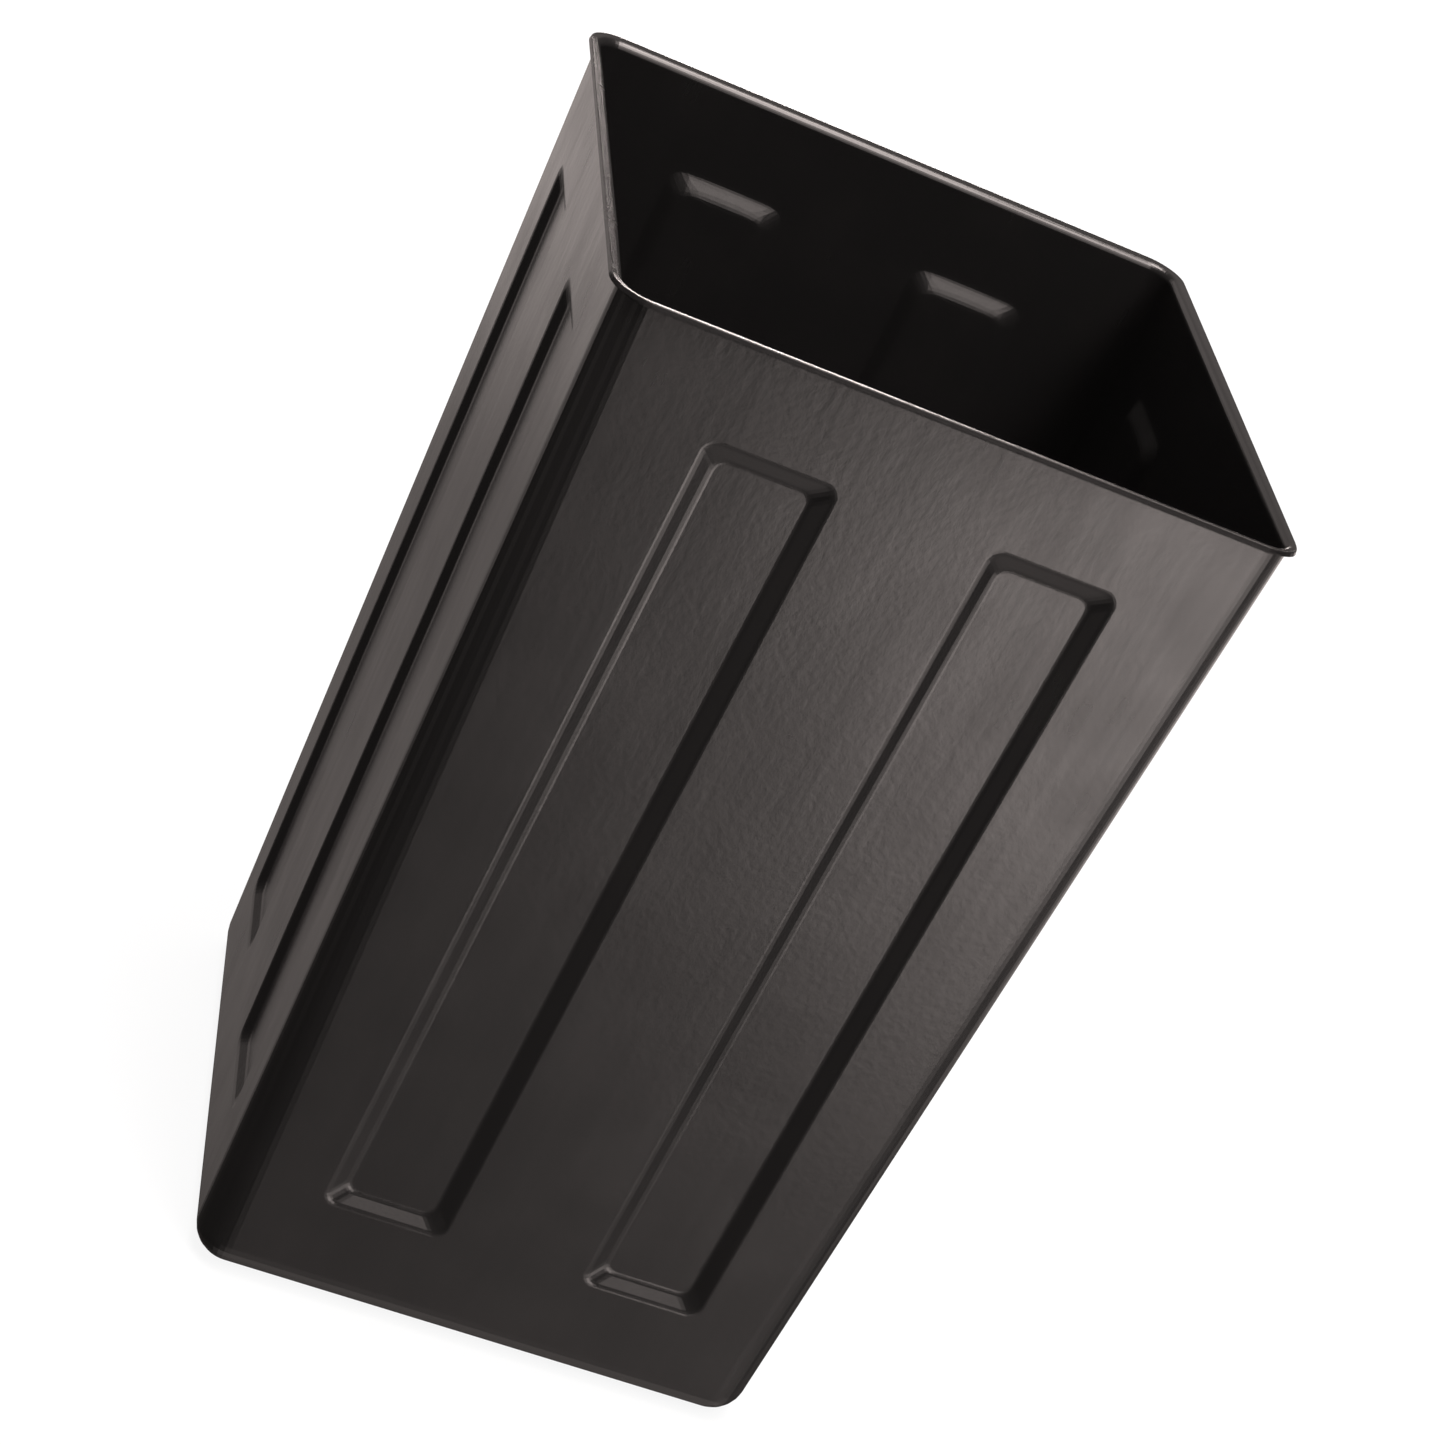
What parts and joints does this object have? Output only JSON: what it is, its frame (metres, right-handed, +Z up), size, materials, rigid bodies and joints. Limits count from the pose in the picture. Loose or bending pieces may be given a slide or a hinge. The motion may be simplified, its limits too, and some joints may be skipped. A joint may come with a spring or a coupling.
{
  "type": "deep tapered tub",
  "caption": "Deep, slightly tapered rectangular plastic tub, open at the top, with a short flared lip, rounded corners and long recessed panels pressed into every wall.",
  "frame": {"origin": "centre of the flat base", "axes": "+Z up to the open rim; the two wider walls face -Y and +Y, the narrower ones -X and +X"},
  "size_m": [0.3558, 0.3458, 0.6],
  "materials": {
    "black_plastic": "semi-gloss moulded plastic, lightly drawn and scuffed"
  },
  "bodies": {
    "root": {"tub": "black_plastic"}
  },
  "joints": []
}
